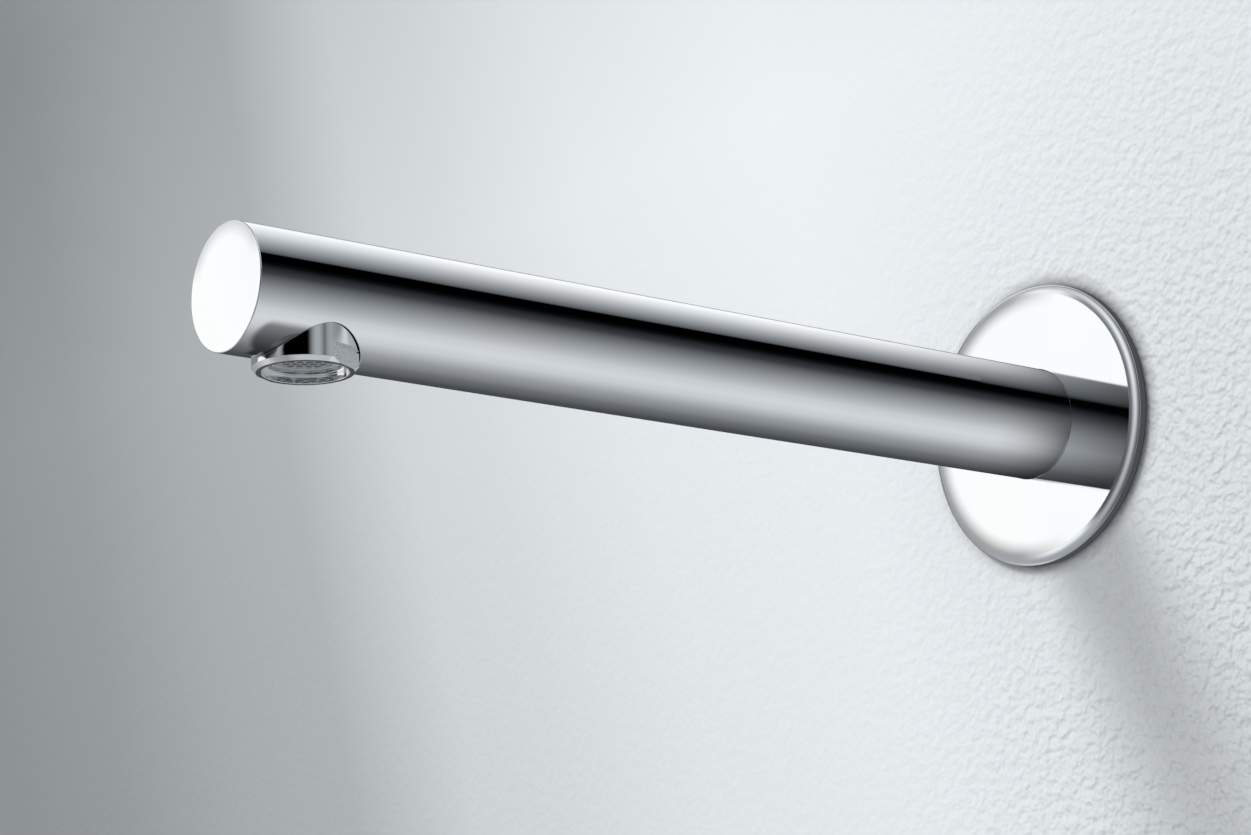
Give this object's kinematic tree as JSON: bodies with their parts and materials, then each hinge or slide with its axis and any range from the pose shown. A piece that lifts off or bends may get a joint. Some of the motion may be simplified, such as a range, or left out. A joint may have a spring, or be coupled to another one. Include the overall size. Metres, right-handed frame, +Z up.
{
  "type": "wall basin spout",
  "caption": "Straight round wall spout for a basin, with a closed end, a downward screw-in aerator, a round wall flange and a threaded wall nipple.",
  "frame": {"origin": "where the spout's axis crosses the face of the finished wall", "axes": "+Z up; the wall is the XZ plane and +Y points into it; the spout points along -Y and the water falls along -Z"},
  "size_m": [0.064, 0.238, 0.064],
  "materials": {
    "chrome_tube": "polished chrome plate on brass",
    "chrome_flange": "polished chrome plate on brass",
    "chrome_aerator": "polished chrome plate, milled wrench flats",
    "brass": "turned",
    "fibre": "pressed vulcanised fibre",
    "seal_rubber": "moulded EPDM",
    "ptfe": "turned PTFE",
    "foam": "closed-cell foam",
    "acetal": "moulded acetal",
    "comb_plastic": "moulded acetal",
    "regulator_plastic": "moulded acetal",
    "stainless_mesh": "woven wire"
  },
  "bodies": {
    "wall_fixing": {"wall_nipple": "brass", "supply_washer": "fibre", "nipple_seal_rear": "seal_rubber", "nipple_seal_front": "seal_rubber"},
    "seat_washer": {"seat_washer": "ptfe"},
    "spout": {"spout_tube": "chrome_tube", "end_cap": "chrome_tube", "rear_socket": "brass", "outlet_body": "brass"},
    "flange": {"wall_flange": "chrome_flange", "flange_friction_ring": "seal_rubber", "flange_gasket": "foam"},
    "aerator_washer": {"aerator_washer": "seal_rubber"},
    "aerator": {"aerator_housing": "chrome_aerator", "cartridge_sleeve": "acetal", "honeycomb_outlet": "comb_plastic", "lower_mesh_screen": "stainless_mesh", "upper_mesh_screen": "stainless_mesh", "jet_plate": "acetal", "flow_regulator": "regulator_plastic", "regulator_ring": "seal_rubber", "dome_screen": "acetal"}
  },
  "joints": [
    {"name": "spout_travel", "type": "slide", "parent": "wall_fixing", "child": "seat_washer", "axis": [0, -1, 0], "range_m": [0, 0.009]},
    {"name": "spout_turn", "type": "hinge", "parent": "seat_washer", "child": "spout", "pos_m": [0, 0, 0], "axis": [0, -1, 0], "range_deg": [0, 2160]},
    {"name": "flange_slide", "type": "slide", "parent": "spout", "child": "flange", "axis": [0, -1, 0], "range_m": [0, 0.18]},
    {"name": "aerator_travel", "type": "slide", "parent": "spout", "child": "aerator_washer", "axis": [0, 0, -1], "range_m": [0, 0.005]},
    {"name": "aerator_turn", "type": "hinge", "parent": "aerator_washer", "child": "aerator", "pos_m": [0, -0.1957, 0], "axis": [0, 0, -1], "range_deg": [0, 1800]}
  ],
  "couplings": [
    {"joint": "spout_travel", "follows": "spout_turn", "m_per_rad": 0.00023873},
    {"joint": "aerator_travel", "follows": "aerator_turn", "m_per_rad": 0.00015915}
  ]
}
